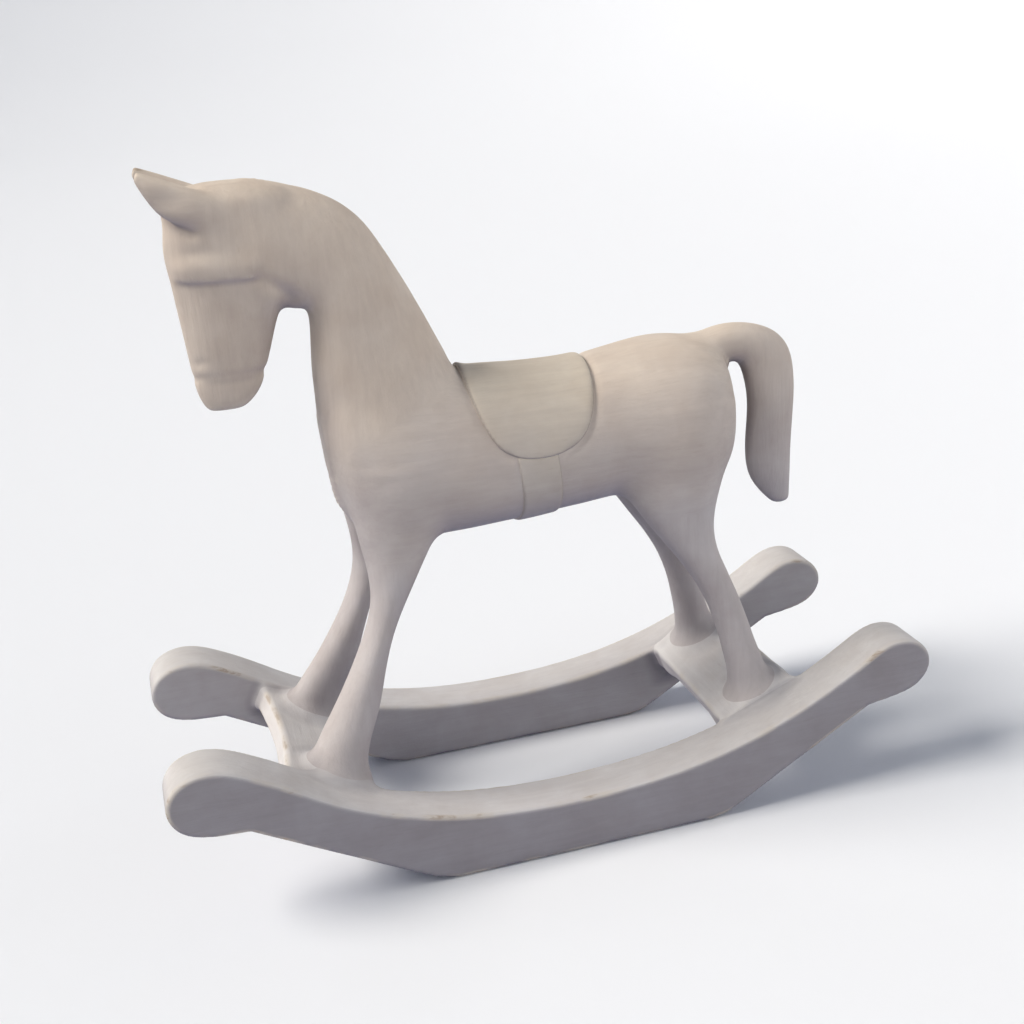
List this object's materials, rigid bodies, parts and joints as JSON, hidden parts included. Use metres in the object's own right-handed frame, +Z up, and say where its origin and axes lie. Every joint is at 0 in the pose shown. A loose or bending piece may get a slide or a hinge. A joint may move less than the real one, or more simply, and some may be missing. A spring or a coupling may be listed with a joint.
{
  "type": "rocking horse",
  "caption": "Carved wooden rocking horse with a relief saddle and girth, its hooves on crossbars between bow rockers, in matte limewash.",
  "frame": {"origin": "on the floor, midway between the ends of the rockers and midway between the two rockers", "axes": "+Z up, the horse faces -X, its left side is -Y"},
  "size_m": [0.8, 0.2976, 0.7048],
  "materials": {
    "horse_paint": "matte limewash over carved wood",
    "saddle_paint": "matte limewash over carved wood",
    "rocker_paint": "matte limewash over sawn board",
    "dowel_wood": "bare beech",
    "screw_steel": "zinc-plated"
  },
  "bodies": {
    "root": {"left_rocker": "rocker_paint", "right_rocker": "rocker_paint", "front_crossbar": "rocker_paint", "rear_crossbar": "rocker_paint", "torso_core": "horse_paint", "torso_left": "horse_paint", "torso_right": "horse_paint", "neck": "horse_paint", "head": "horse_paint", "left_ear": "horse_paint", "right_ear": "horse_paint", "left_front_leg": "horse_paint", "right_front_leg": "horse_paint", "left_rear_leg": "horse_paint", "right_rear_leg": "horse_paint", "tail": "horse_paint", "saddle": "saddle_paint", "girth": "saddle_paint", "neck_dowels": "dowel_wood", "head_dowels": "dowel_wood", "ear_dowels": "dowel_wood", "tail_dowel": "dowel_wood", "front_leg_dowels": "dowel_wood", "rear_leg_dowels": "dowel_wood", "front_crossbar_dowels": "dowel_wood", "rear_crossbar_dowels": "dowel_wood", "front_hoof_screws": "screw_steel", "rear_hoof_screws": "screw_steel"}
  },
  "joints": []
}
